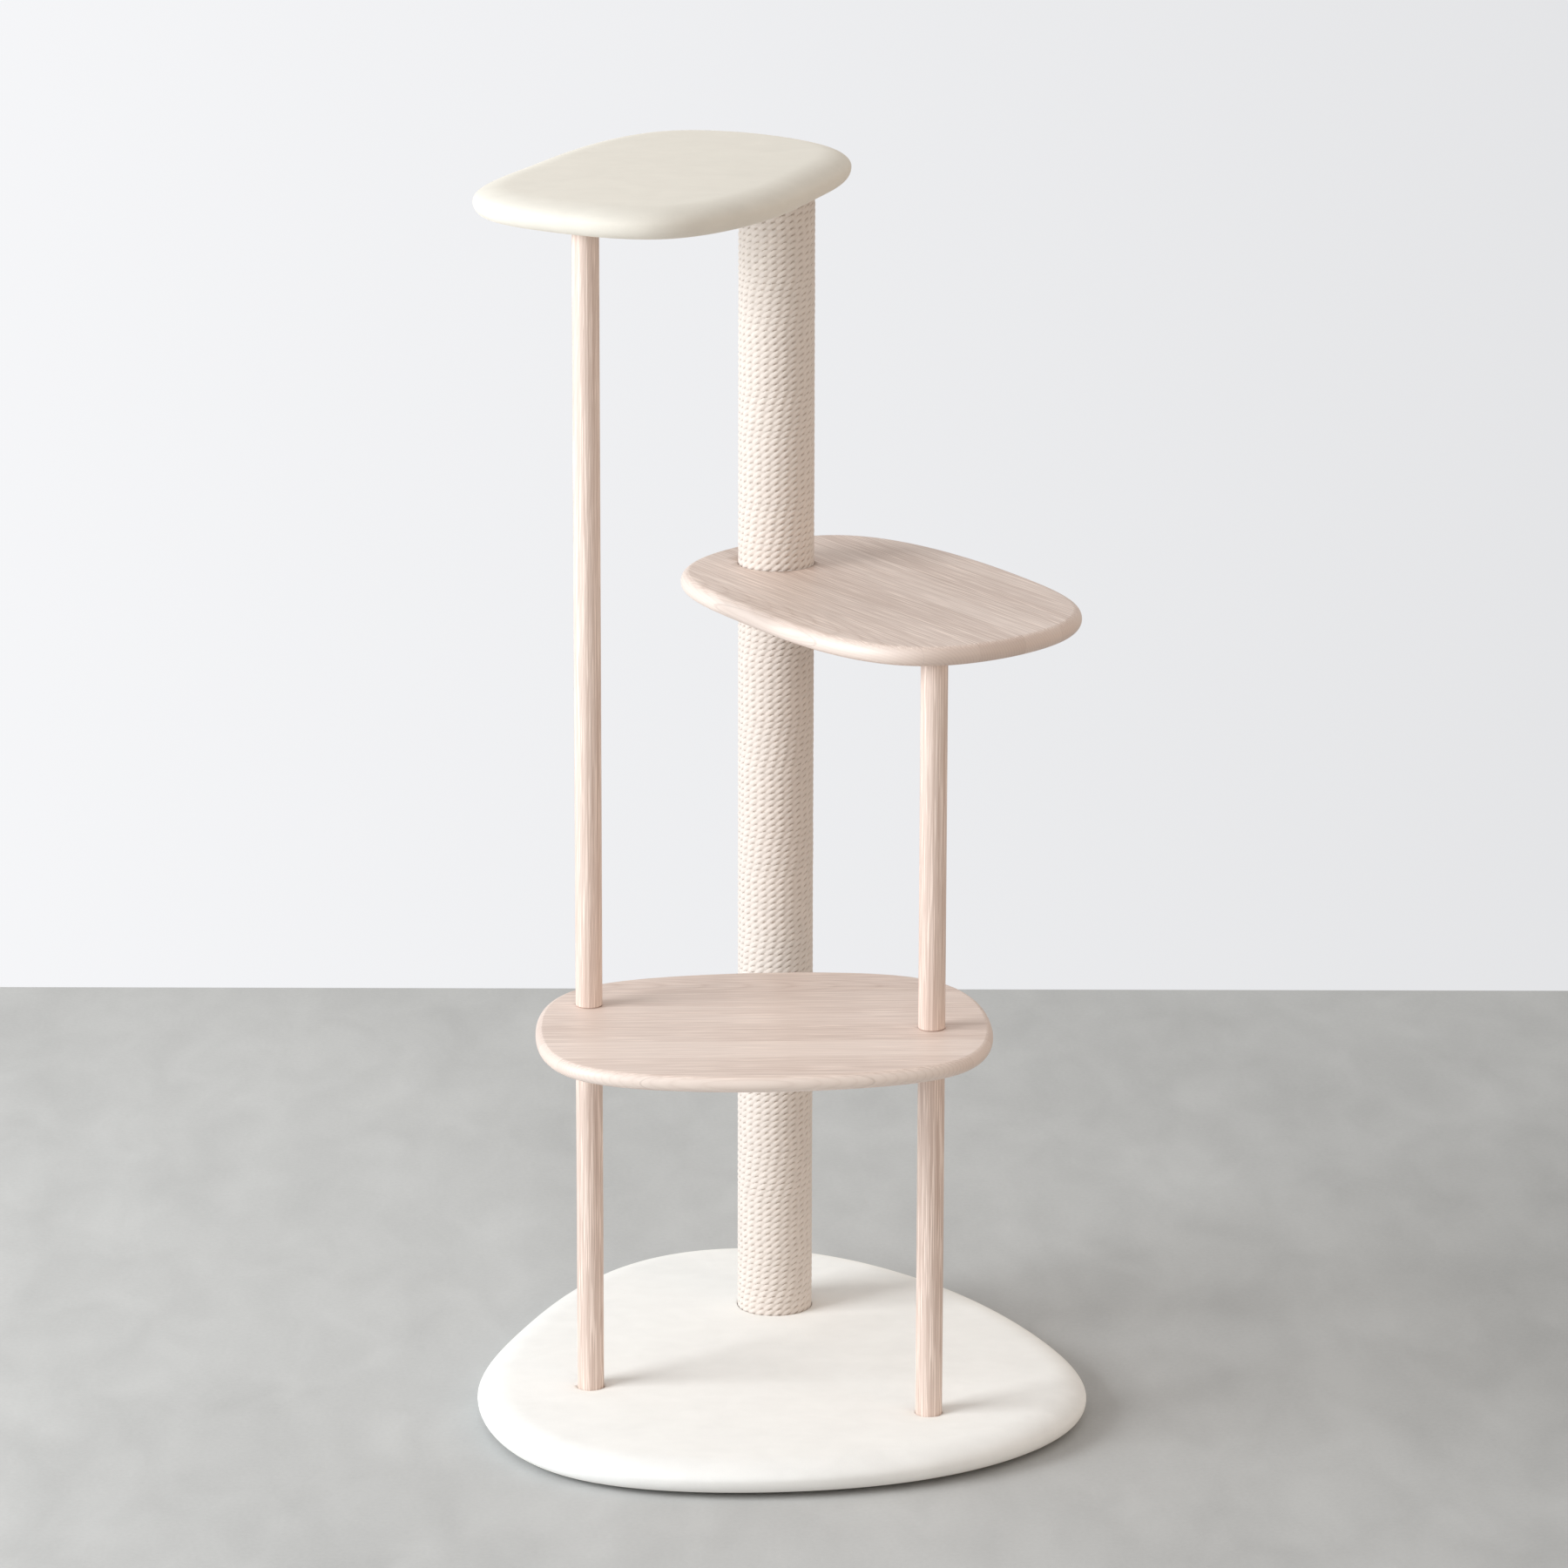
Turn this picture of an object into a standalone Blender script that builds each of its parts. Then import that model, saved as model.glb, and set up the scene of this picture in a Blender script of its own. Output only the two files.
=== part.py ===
"""Cat tree: an upholstered pebble-shaped base, two dowel posts, one rope-wound post,
two wooden shelves and an upholstered perch.

Frame: metres, +Z up. The origin is on the floor, under the middle of the base's outline.
-Y is the front, +X is to the right of someone who faces the front.
Sizes below are in millimetres and become metres where a mesh is made.
"""

import math

import bmesh
import bpy
import numpy as np

MM = 0.001
GAP = 0.3                 # clearance between pieces that touch
CUT_THROUGH = 1.0         # how far a hole's cutter passes the face it opens

# Heights above the floor
FOOT_HEIGHT = 4.0
BASE_TOP = 38.0
LOWER_SHELF_TOP = 487.0
MID_SHELF_TOP = 929.0
PERCH_BOTTOM = 1366.0
PERCH_TOP = 1400.0

# Boards and upholstery
LOWER_SHELF_THICKNESS = 18.0
MID_SHELF_THICKNESS = 22.0
BASE_BOARD_THICKNESS = 18.0
PERCH_BOARD_THICKNESS = 15.0
COVER_THICKNESS = 1.5
LINER_THICKNESS = 1.0
BOARD_INSET = 16.0        # from the upholstered outline in to the board's edge
FLAP_INSET = 40.0         # how far the cover is turned in under the board
LINER_INSET = 26.0        # from the outline in to the liner's edge

# Posts, as their places on the plan of the outlines below
LEFT_POST = (-217.6, -113.9)
RIGHT_POST = (164.1, -198.1)
ROPE_POST = (-9.7, 168.0)
POST_RADIUS = 15.0
POST_SIDES = 16
POST_CHAMFER = 1.0
CORE_INNER_RADIUS = 31.0
CORE_OUTER_RADIUS = 35.2
WINDING_INNER_RADIUS = 35.5
WINDING_OUTER_RADIUS = 43.5
WINDING_EDGE = 3.0        # rounding of the first and last turn of rope
ROPE_SIDES = 28
PLUG_LENGTH = 25.0
POST_HOLE_RADIUS = 16.5   # in the base's cover and padding
ROPE_HOLE_RADIUS = 45.2   # in the base's cover and padding, and the middle shelf's recess
ROPE_RECESS_DEPTH = 5.0

# M8 fasteners
THREAD_RADIUS = 3.9
INSERT_INNER_RADIUS = 4.2
INSERT_OUTER_RADIUS = 6.5
INSERT_LENGTH = 20.0
SHELF_INSERT_LENGTH = 13.0
BORE_RADIUS = 6.8
BORE_DEPTH = 21.0
STUD_GRIP = 18.0          # length of thread inside each insert
STUD_END_GAP = 1.0        # from a stud's end to the end of a shelf's insert
ROD_CHAMFER = 0.6
BOLT_HOLE_RADIUS = 4.6
BOLT_HEAD_RADIUS = 7.5
BOLT_HEAD_HEIGHT = 4.0
SOCKET_RADIUS = 2.9
SOCKET_DEPTH = 2.2
WASHER_RADIUS = 9.2
WASHER_THICKNESS = 1.5
COUNTERBORE_RADIUS = 9.6
COUNTERBORE_DEPTH = 6.5
TEE_BARREL_RADIUS = 5.4
TEE_BARREL_LENGTH = 9.5
TEE_FLANGE_RADIUS = 11.0
TEE_FLANGE_THICKNESS = 1.5
TEE_RECESS_DEPTH = 2.1
FASTENER_SIDES = 10

# Feet
FOOT_RADIUS = 20.0
FOOT_INSET = 75.0
FOOT_COUNT = 5

# Outlines: control points of closed cubic curves, seen from above
BASE_POINTS = (
    (-370, -122), (-315, 83), (-215, 351), (-9, 424), (194, 274),
    (318, 59), (376, -165), (207, -351), (-36, -404), (-277, -366),
)
LOWER_SHELF_POINTS = (
    (-282, -211), (-267, -36), (-112, 14), (44, 29), (199, 8),
    (241, -164), (224, -333), (70, -380), (-77, -394), (-251, -364),
)
MID_SHELF_POINTS = (
    (-140, 108), (-88, 243), (65, 352), (194, 236), (268, 121),
    (352, -30), (303, -164), (145, -270), (19, -163), (-51, -39),
)
PERCH_POINTS = (
    (-376, -52), (-295, 116), (-254, 226), (-154, 378), (1, 330),
    (101, 209), (37, 50), (0, -66), (-117, -213), (-257, -151),
)
POINTS_PER_SPAN = 5
EDGE_STEPS = 4            # facets round a half-round edge
CREASE = math.radians(30)  # edges sharper than this are shaded as creases

# Heights that follow from the ones above
BASE_LINER_BOTTOM = FOOT_HEIGHT + GAP
BASE_BOARD_BOTTOM = BASE_LINER_BOTTOM + LINER_THICKNESS + COVER_THICKNESS + 2 * GAP
BASE_BOARD_TOP = BASE_BOARD_BOTTOM + BASE_BOARD_THICKNESS
PERCH_BOARD_BOTTOM = PERCH_BOTTOM + LINER_THICKNESS + COVER_THICKNESS + 2 * GAP
PERCH_BOARD_TOP = PERCH_BOARD_BOTTOM + PERCH_BOARD_THICKNESS
LOWER_SHELF_BOTTOM = LOWER_SHELF_TOP - LOWER_SHELF_THICKNESS
MID_SHELF_BOTTOM = MID_SHELF_TOP - MID_SHELF_THICKNESS
RECESS_FLOOR = MID_SHELF_TOP - ROPE_RECESS_DEPTH
POST_FOOT = BASE_BOARD_TOP + GAP


def closed_curve(points, per_span=POINTS_PER_SPAN):
    """Points along the closed uniform cubic B-spline of some control points, anticlockwise."""
    control = np.array(points[::-1], dtype=float)
    step = np.arange(len(control) * per_span) / per_span
    span = step.astype(int)
    u = (step - span)[:, None]
    weights = (
        (1 - u) ** 3 / 6,
        (3 * u ** 3 - 6 * u ** 2 + 4) / 6,
        (-3 * u ** 3 + 3 * u ** 2 + 3 * u + 1) / 6,
        u ** 3 / 6,
    )
    return sum(w * control[(span + k - 1) % len(control)] for k, w in enumerate(weights))


BASE_CURVE = closed_curve(BASE_POINTS)
PLAN_CENTRE = (BASE_CURVE.min(axis=0) + BASE_CURVE.max(axis=0)) / 2


def outline(points):
    """A platform's outline, with the middle of the base's outline as its origin."""
    return closed_curve(points) - PLAN_CENTRE


def place(post):
    """A post's axis, with the middle of the base's outline as its origin."""
    return tuple(np.array(post) - PLAN_CENTRE)


def inset(curve, distance):
    """The outline moved inwards by a distance along its own normals."""
    along = np.roll(curve, -1, axis=0) - np.roll(curve, 1, axis=0)
    along /= np.linalg.norm(along, axis=1)[:, None]
    return curve + distance * np.stack([-along[:, 1], along[:, 0]], axis=1)


def round_edge(bottom, top, start=0.0):
    """(inset, height) down a half-round edge, whose widest point is inset by `start`."""
    radius = (top - bottom) / 2
    angles = [math.pi * (0.5 - k / EDGE_STEPS) for k in range(EDGE_STEPS + 1)]
    return [
        (start + radius * (1 - math.cos(a)), bottom + radius * (1 + math.sin(a)))
        for a in angles
    ]


def material(name, colour, roughness, metallic=0.0):
    """A Principled material, made once for each name."""
    found = bpy.data.materials.get(name)
    if found:
        return found
    made = bpy.data.materials.new(name)
    made.use_nodes = True
    shader = made.node_tree.nodes["Principled BSDF"]
    shader.inputs["Base Color"].default_value = (*colour, 1.0)
    shader.inputs["Roughness"].default_value = roughness
    shader.inputs["Metallic"].default_value = metallic
    return made


def ash_wood():
    return material("ash_wood", (0.78, 0.63, 0.52), 0.55)


def board_wood():
    return material("board_wood", (0.62, 0.47, 0.32), 0.7)


def velour():
    return material("velour", (0.86, 0.83, 0.77), 0.95)


def foam():
    return material("foam", (0.90, 0.86, 0.66), 1.0)


def dark_liner():
    return material("dark_liner", (0.03, 0.03, 0.03), 0.95)


def felt():
    return material("felt", (0.05, 0.05, 0.05), 1.0)


def cotton_rope():
    return material("cotton_rope", (0.80, 0.71, 0.62), 0.9)


def cardboard():
    return material("cardboard", (0.55, 0.40, 0.26), 0.85)


def zinc_steel():
    return material("zinc_steel", (0.66, 0.67, 0.69), 0.35, 1.0)


def brass():
    return material("brass", (0.78, 0.60, 0.28), 0.35, 1.0)


def add_solid(name, made_of, mesh_builder, at=(0.0, 0.0)):
    """An object from a filled-in bmesh, in metres, standing at a place on the plan."""
    mesh = bpy.data.meshes.new(name)
    mesh_builder.normal_update()
    mesh_builder.to_mesh(mesh)
    mesh_builder.free()
    mesh.shade_smooth()
    mesh.set_sharp_from_angle(angle=CREASE)
    solid = bpy.data.objects.new(name, mesh)
    solid.location = (at[0] * MM, at[1] * MM, 0.0)
    if made_of:
        mesh.materials.append(made_of())
    bpy.context.scene.collection.objects.link(solid)
    return solid


def layered_solid(name, made_of, curve, layers):
    """A closed body through one ring for each (inset, height); both end rings are filled."""
    shape = bmesh.new()
    rings = []
    for distance, height in layers:
        ring = inset(curve, distance)
        rings.append([shape.verts.new((x * MM, y * MM, height * MM)) for x, y in ring])
    for above, below in zip(rings, rings[1:]):
        for k in range(len(above)):
            nxt = (k + 1) % len(above)
            shape.faces.new((above[k], below[k], below[nxt], above[nxt]))
    shape.faces.new(rings[0])
    shape.faces.new(rings[-1][::-1])
    return add_solid(name, made_of, shape)


def turned_solid(name, made_of, profile, at, sides=FASTENER_SIDES):
    """A body of revolution. The (radius, height) profile starts and ends on the axis,
    or is closed, and runs up its outer side."""
    shape = bmesh.new()
    turns = [2 * math.pi * k / sides for k in range(sides)]
    rings = []
    for radius, height in profile:
        if radius == 0:
            rings.append([shape.verts.new((0, 0, height * MM))])
        else:
            rings.append([
                shape.verts.new((radius * MM * math.cos(t), radius * MM * math.sin(t), height * MM))
                for t in turns
            ])
    pairs = list(zip(rings, rings[1:]))
    if profile[0][0] != 0:
        pairs.append((rings[-1], rings[0]))
    for low, high in pairs:
        for k in range(sides):
            nxt = (k + 1) % sides
            corners = [low[k % len(low)], low[nxt % len(low)], high[nxt % len(high)], high[k % len(high)]]
            shape.faces.new(list(dict.fromkeys(corners)))
    return add_solid(name, made_of, shape, at)


def tube_profile(inner, outer, bottom, top):
    return [(inner, bottom), (outer, bottom), (outer, top), (inner, top)]


def rod_profile(radius, bottom, top, chamfer=ROD_CHAMFER):
    return [
        (0, bottom), (radius - chamfer, bottom), (radius, bottom + chamfer),
        (radius, top - chamfer), (radius - chamfer, top), (0, top),
    ]


def cut(solid, holes):
    """Cut upright round holes, each (place, radius, bottom, top), out of a solid."""
    for number, (at, radius, bottom, top) in enumerate(holes):
        sides = ROPE_SIDES if radius > POST_RADIUS * 2 else POST_SIDES
        profile = [(0, bottom), (radius, bottom), (radius, top), (0, top)]
        cutter = turned_solid(f"{solid.name}_hole_{number}", None, profile, at, sides)
        cutter.hide_render = True
        cutter.display_type = "WIRE"
        boolean = solid.modifiers.new(f"hole_{number}", "BOOLEAN")
        boolean.object = cutter


def upholstered_cover(name, made_of, curve, bottom, top):
    """A skin over the top and the round edge, turned in underneath by FLAP_INSET."""
    outside = round_edge(bottom, top)
    inside = round_edge(bottom + COVER_THICKNESS, top - COVER_THICKNESS, COVER_THICKNESS)
    flap = [(FLAP_INSET, bottom), (FLAP_INSET, bottom + COVER_THICKNESS)]
    return layered_solid(name, made_of, curve, outside + flap + inside[::-1])


def edge_padding(name, curve, bottom, top, board_top):
    """Foam that covers the board's top and wraps its edge, open underneath for the board."""
    skin = COVER_THICKNESS + GAP
    outside = round_edge(bottom + skin, top - skin, skin)
    pocket = BOARD_INSET - GAP
    inside = [(pocket, bottom + skin), (pocket, board_top + GAP)]
    return layered_solid(name, foam, curve, outside[:-1] + inside)


def plain_board(name, made_of, curve, distance, bottom, top):
    return layered_solid(name, made_of, curve, [(distance, top), (distance, bottom)])


def build_base():
    """Board, foam, cover and liner of the base, with the posts' holes."""
    curve = outline(BASE_POINTS)
    cover_bottom = BASE_LINER_BOTTOM + LINER_THICKNESS + GAP
    board = plain_board("base_board", board_wood, curve, BOARD_INSET, BASE_BOARD_BOTTOM, BASE_BOARD_TOP)
    padding = edge_padding("base_foam", curve, cover_bottom, BASE_TOP, BASE_BOARD_TOP)
    cover = upholstered_cover("base_cover", velour, curve, cover_bottom, BASE_TOP)
    liner_top = BASE_LINER_BOTTOM + LINER_THICKNESS
    plain_board("base_liner", dark_liner, curve, LINER_INSET, BASE_LINER_BOTTOM, liner_top)
    bolt_holes = []
    post_holes = []
    for post, radius in ((LEFT_POST, POST_HOLE_RADIUS), (RIGHT_POST, POST_HOLE_RADIUS),
                         (ROPE_POST, ROPE_HOLE_RADIUS)):
        at = place(post)
        under = BASE_BOARD_BOTTOM - CUT_THROUGH
        sunk = BASE_BOARD_BOTTOM + COUNTERBORE_DEPTH
        bolt_holes.append((at, BOLT_HOLE_RADIUS, under, BASE_BOARD_TOP + CUT_THROUGH))
        bolt_holes.append((at, COUNTERBORE_RADIUS, under, sunk))
        post_holes.append((at, radius, BASE_BOARD_TOP - CUT_THROUGH, BASE_TOP + CUT_THROUGH))
    cut(board, bolt_holes)
    cut(padding, post_holes)
    cut(cover, post_holes)


def build_feet():
    """Round pads, spread evenly along the base's outline and set in from it."""
    ring = inset(outline(BASE_POINTS), FOOT_INSET)
    gaps = np.linalg.norm(np.roll(ring, -1, axis=0) - ring, axis=1)
    travelled = np.concatenate([[0.0], np.cumsum(gaps)[:-1]])
    for number in range(FOOT_COUNT):
        nearest = np.argmin(abs(travelled - gaps.sum() * number / FOOT_COUNT))
        profile = rod_profile(FOOT_RADIUS, 0, FOOT_HEIGHT)
        turned_solid(f"base_foot_{number + 1}", felt, profile, tuple(ring[nearest]), POST_SIDES)


def build_lower_shelf():
    """Solid shelf with a half-round edge, clamped between the halves of both dowel posts."""
    layers = round_edge(LOWER_SHELF_BOTTOM, LOWER_SHELF_TOP)
    shelf = layered_solid("lower_shelf", ash_wood, outline(LOWER_SHELF_POINTS), layers)
    through = (BOLT_HOLE_RADIUS, LOWER_SHELF_BOTTOM - CUT_THROUGH, LOWER_SHELF_TOP + CUT_THROUGH)
    cut(shelf, [(place(post), *through) for post in (LEFT_POST, RIGHT_POST)])


def build_mid_shelf():
    """Solid shelf with a recess for the rope post's upper half and a blind bore underneath
    for the right post's insert."""
    layers = round_edge(MID_SHELF_BOTTOM, MID_SHELF_TOP)
    shelf = layered_solid("mid_shelf", ash_wood, outline(MID_SHELF_POINTS), layers)
    under = MID_SHELF_BOTTOM - CUT_THROUGH
    bore_top = MID_SHELF_BOTTOM + SHELF_INSERT_LENGTH + 2 * GAP
    cut(shelf, [
        (place(ROPE_POST), ROPE_HOLE_RADIUS, RECESS_FLOOR, MID_SHELF_TOP + CUT_THROUGH),
        (place(ROPE_POST), BOLT_HOLE_RADIUS, under, RECESS_FLOOR + CUT_THROUGH),
        (place(RIGHT_POST), BORE_RADIUS, under, bore_top),
    ])


def build_perch():
    """Board, foam, cover and liner of the perch, with holes for the studs and tee nuts."""
    curve = outline(PERCH_POINTS)
    cover_bottom = PERCH_BOTTOM + LINER_THICKNESS + GAP
    board = plain_board("perch_board", board_wood, curve, BOARD_INSET, PERCH_BOARD_BOTTOM, PERCH_BOARD_TOP)
    edge_padding("perch_foam", curve, cover_bottom, PERCH_TOP, PERCH_BOARD_TOP)
    upholstered_cover("perch_cover", velour, curve, cover_bottom, PERCH_TOP)
    liner_top = PERCH_BOTTOM + LINER_THICKNESS
    liner = plain_board("perch_liner", velour, curve, LINER_INSET, PERCH_BOTTOM, liner_top)
    posts = [place(post) for post in (LEFT_POST, ROPE_POST)]
    barrel = TEE_BARREL_RADIUS + GAP
    flange = TEE_FLANGE_RADIUS + GAP
    board_over = PERCH_BOARD_TOP + CUT_THROUGH
    cut(board, [(at, barrel, PERCH_BOARD_BOTTOM - CUT_THROUGH, board_over) for at in posts])
    cut(board, [(at, flange, PERCH_BOARD_TOP - TEE_RECESS_DEPTH, board_over) for at in posts])
    cut(liner, [
        (at, BOLT_HOLE_RADIUS, PERCH_BOTTOM - CUT_THROUGH, liner_top + CUT_THROUGH) for at in posts
    ])


def bored_profile(radius, bottom, top):
    """A chamfered round with a bore right through it; also the mouths of a post's blind bores."""
    return [
        (BORE_RADIUS, bottom), (radius - POST_CHAMFER, bottom), (radius, bottom + POST_CHAMFER),
        (radius, top - POST_CHAMFER), (radius - POST_CHAMFER, top), (BORE_RADIUS, top),
    ]


def insert_sleeve(name, at, end, inwards):
    """A threaded insert, just inside the end of a post; `inwards` is 1 up or -1 down."""
    near = end + inwards * GAP
    far = near + inwards * INSERT_LENGTH
    profile = tube_profile(INSERT_INNER_RADIUS, INSERT_OUTER_RADIUS, min(near, far), max(near, far))
    turned_solid(name, brass, profile, at)


def dowel_post(name, post, bottom, top):
    """A round dowel with a threaded insert in each end."""
    at = place(post)
    low_bore = [(0, bottom + BORE_DEPTH), (BORE_RADIUS, bottom + BORE_DEPTH)]
    high_bore = [(BORE_RADIUS, top - BORE_DEPTH), (0, top - BORE_DEPTH)]
    profile = low_bore + bored_profile(POST_RADIUS, bottom, top) + high_bore
    turned_solid(name, ash_wood, profile, at, POST_SIDES)
    insert_sleeve(f"{name}_insert_bottom", at, bottom, 1)
    insert_sleeve(f"{name}_insert_top", at, top, -1)


def rope_post(name, bottom, top):
    """A tube with a wooden plug and an insert in each end, inside its winding of rope."""
    at = place(ROPE_POST)
    core = tube_profile(CORE_INNER_RADIUS, CORE_OUTER_RADIUS, bottom, top)
    turned_solid(f"{name}_core", cardboard, core, at, ROPE_SIDES)
    outer = WINDING_OUTER_RADIUS
    winding = [
        (WINDING_INNER_RADIUS, bottom), (outer - WINDING_EDGE, bottom), (outer, bottom + WINDING_EDGE),
        (outer, top - WINDING_EDGE), (outer - WINDING_EDGE, top), (WINDING_INNER_RADIUS, top),
    ]
    turned_solid(f"{name}_winding", cotton_rope, winding, at, ROPE_SIDES)
    ends = (("bottom", bottom, bottom + PLUG_LENGTH, bottom, 1), ("top", top - PLUG_LENGTH, top, top, -1))
    for end_name, low, high, end, inwards in ends:
        plug = bored_profile(CORE_INNER_RADIUS - GAP, low, high)
        turned_solid(f"{name}_plug_{end_name}", board_wood, plug, at, POST_SIDES)
        insert_sleeve(f"{name}_insert_{end_name}", at, end, inwards)


def build_posts():
    shelf_foot = LOWER_SHELF_TOP + GAP
    dowel_post("left_post_lower", LEFT_POST, POST_FOOT, LOWER_SHELF_BOTTOM - GAP)
    dowel_post("left_post_upper", LEFT_POST, shelf_foot, PERCH_BOTTOM - GAP)
    dowel_post("right_post_lower", RIGHT_POST, POST_FOOT, LOWER_SHELF_BOTTOM - GAP)
    dowel_post("right_post_upper", RIGHT_POST, shelf_foot, MID_SHELF_BOTTOM - GAP)
    rope_post("rope_post_lower", POST_FOOT, MID_SHELF_BOTTOM - GAP)
    rope_post("rope_post_upper", RECESS_FLOOR + GAP, PERCH_BOTTOM - GAP)


def base_bolt(name, at):
    """A socket-head bolt and its washer, up through the base's board into a post."""
    washer_top = BASE_BOARD_BOTTOM + COUNTERBORE_DEPTH - GAP
    washer_bottom = washer_top - WASHER_THICKNESS
    head_top = washer_bottom - GAP
    head_bottom = head_top - BOLT_HEAD_HEIGHT
    profile = [
        (0, head_bottom + SOCKET_DEPTH), (SOCKET_RADIUS, head_bottom + SOCKET_DEPTH),
        (SOCKET_RADIUS, head_bottom), (BOLT_HEAD_RADIUS, head_bottom), (BOLT_HEAD_RADIUS, head_top),
        (THREAD_RADIUS, head_top), (THREAD_RADIUS, POST_FOOT + STUD_GRIP), (0, POST_FOOT + STUD_GRIP),
    ]
    turned_solid(f"base_bolt_{name}", zinc_steel, profile, at)
    washer = tube_profile(INSERT_INNER_RADIUS, WASHER_RADIUS, washer_bottom, washer_top)
    turned_solid(f"base_washer_{name}", zinc_steel, washer, at)


def stud(name, at, bottom, top):
    turned_solid(name, zinc_steel, rod_profile(THREAD_RADIUS, bottom, top), at)


def tee_nut(name, at):
    """A flanged nut let into the top of the perch's board, with its barrel down the hole."""
    flange_bottom = PERCH_BOARD_TOP - TEE_RECESS_DEPTH + GAP
    flange_top = flange_bottom + TEE_FLANGE_THICKNESS
    barrel_bottom = flange_bottom - TEE_BARREL_LENGTH
    profile = [
        (INSERT_INNER_RADIUS, barrel_bottom), (TEE_BARREL_RADIUS, barrel_bottom),
        (TEE_BARREL_RADIUS, flange_bottom), (TEE_FLANGE_RADIUS, flange_bottom),
        (TEE_FLANGE_RADIUS, flange_top), (INSERT_INNER_RADIUS, flange_top),
    ]
    turned_solid(name, zinc_steel, profile, at)


def build_fasteners():
    """Bolts and washers under the base, studs through the shelves, tee nuts in the perch."""
    left, right, rope = (place(post) for post in (LEFT_POST, RIGHT_POST, ROPE_POST))
    for name, at in (("left", left), ("right", right), ("rope", rope)):
        base_bolt(name, at)
    shelf_low = LOWER_SHELF_BOTTOM - STUD_GRIP
    shelf_high = LOWER_SHELF_TOP + STUD_GRIP
    stud("lower_shelf_stud_left", left, shelf_low, shelf_high)
    stud("lower_shelf_stud_right", right, shelf_low, shelf_high)
    stud("mid_shelf_stud_rope", rope, MID_SHELF_BOTTOM - STUD_GRIP, RECESS_FLOOR + STUD_GRIP)
    insert_top = MID_SHELF_BOTTOM + GAP + SHELF_INSERT_LENGTH
    stud("mid_shelf_stud_right", right, MID_SHELF_BOTTOM - STUD_GRIP, insert_top - STUD_END_GAP)
    sleeve = tube_profile(INSERT_INNER_RADIUS, INSERT_OUTER_RADIUS, MID_SHELF_BOTTOM + GAP, insert_top)
    turned_solid("mid_shelf_insert", brass, sleeve, right)
    for name, at in (("left", left), ("rope", rope)):
        stud(f"perch_stud_{name}", at, PERCH_BOTTOM - STUD_GRIP, PERCH_BOARD_TOP - TEE_RECESS_DEPTH)
        tee_nut(f"perch_tee_nut_{name}", at)


def main():
    for old in list(bpy.data.objects):
        bpy.data.objects.remove(old, do_unlink=True)
    build_base()
    build_feet()
    build_lower_shelf()
    build_mid_shelf()
    build_perch()
    build_posts()
    build_fasteners()


main()
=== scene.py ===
"""Cat tree: the finished looks of its wood, rope and upholstery, on a plain studio floor.

Units are metres, +Z up, with the origin on the floor under the middle of the base and the
front towards -Y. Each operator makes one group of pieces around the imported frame; main()
calls them in order.
"""

import math

import bmesh
import bpy
import numpy as np
from mathutils import Matrix, Vector


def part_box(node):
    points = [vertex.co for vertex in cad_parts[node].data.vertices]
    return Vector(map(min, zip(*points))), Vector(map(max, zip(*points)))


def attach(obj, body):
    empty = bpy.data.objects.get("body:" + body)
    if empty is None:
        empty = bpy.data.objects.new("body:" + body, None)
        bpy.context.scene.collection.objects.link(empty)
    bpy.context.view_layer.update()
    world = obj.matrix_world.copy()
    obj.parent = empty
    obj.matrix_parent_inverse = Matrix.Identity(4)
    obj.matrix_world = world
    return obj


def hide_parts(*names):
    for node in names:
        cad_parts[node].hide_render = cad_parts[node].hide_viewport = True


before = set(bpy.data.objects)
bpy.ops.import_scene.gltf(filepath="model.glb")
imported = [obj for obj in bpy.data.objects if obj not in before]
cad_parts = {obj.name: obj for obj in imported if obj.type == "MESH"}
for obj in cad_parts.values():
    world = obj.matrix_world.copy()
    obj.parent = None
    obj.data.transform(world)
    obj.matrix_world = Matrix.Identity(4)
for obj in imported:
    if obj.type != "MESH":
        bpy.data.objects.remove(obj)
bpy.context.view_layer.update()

bl_info = {
    "name": "Cat tree",
    "version": (1, 0, 0),
    "blender": (4, 5, 0),
    "location": "3D View > Sidebar > Cat tree",
    "description": "Builds the wood, rope and upholstery of a cat tree around its frame",
    "category": "Object",
}

MM = 0.001
FULL_TURN = 2 * math.pi

# Outlines of the four platforms: control points of closed cubic curves in millimetres,
# clockwise from above
BASE_POINTS = (
    (-370, -122), (-315, 83), (-215, 351), (-9, 424), (194, 274),
    (318, 59), (376, -165), (207, -351), (-36, -404), (-277, -366),
)
LOWER_SHELF_POINTS = (
    (-282, -211), (-267, -36), (-112, 14), (44, 29), (199, 8),
    (241, -164), (224, -333), (70, -380), (-77, -394), (-251, -364),
)
MID_SHELF_POINTS = (
    (-140, 108), (-88, 243), (65, 352), (194, 236), (268, 121),
    (352, -30), (303, -164), (145, -270), (19, -163), (-51, -39),
)
PERCH_POINTS = (
    (-376, -52), (-295, 116), (-254, 226), (-154, 378), (1, 330),
    (101, 209), (37, 50), (0, -66), (-117, -213), (-257, -151),
)

# How the turns of rope press into each other
STRAND_SHARE = 0.52       # a strand's radius against the rope's
SQUEEZE = 0.66            # a turn shows this share of the rope's width
FLATTENING = 0.60         # share of the strands' relief that is left
ROWS_PER_TURN = 8
ROPE_COLUMNS = 228
FIBRE_LEAN = 0.84         # slope of the fibres against the rope's length
SLEEVE_WALL = 35.5 * MM   # inner radius of the winding, on its tube

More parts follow.
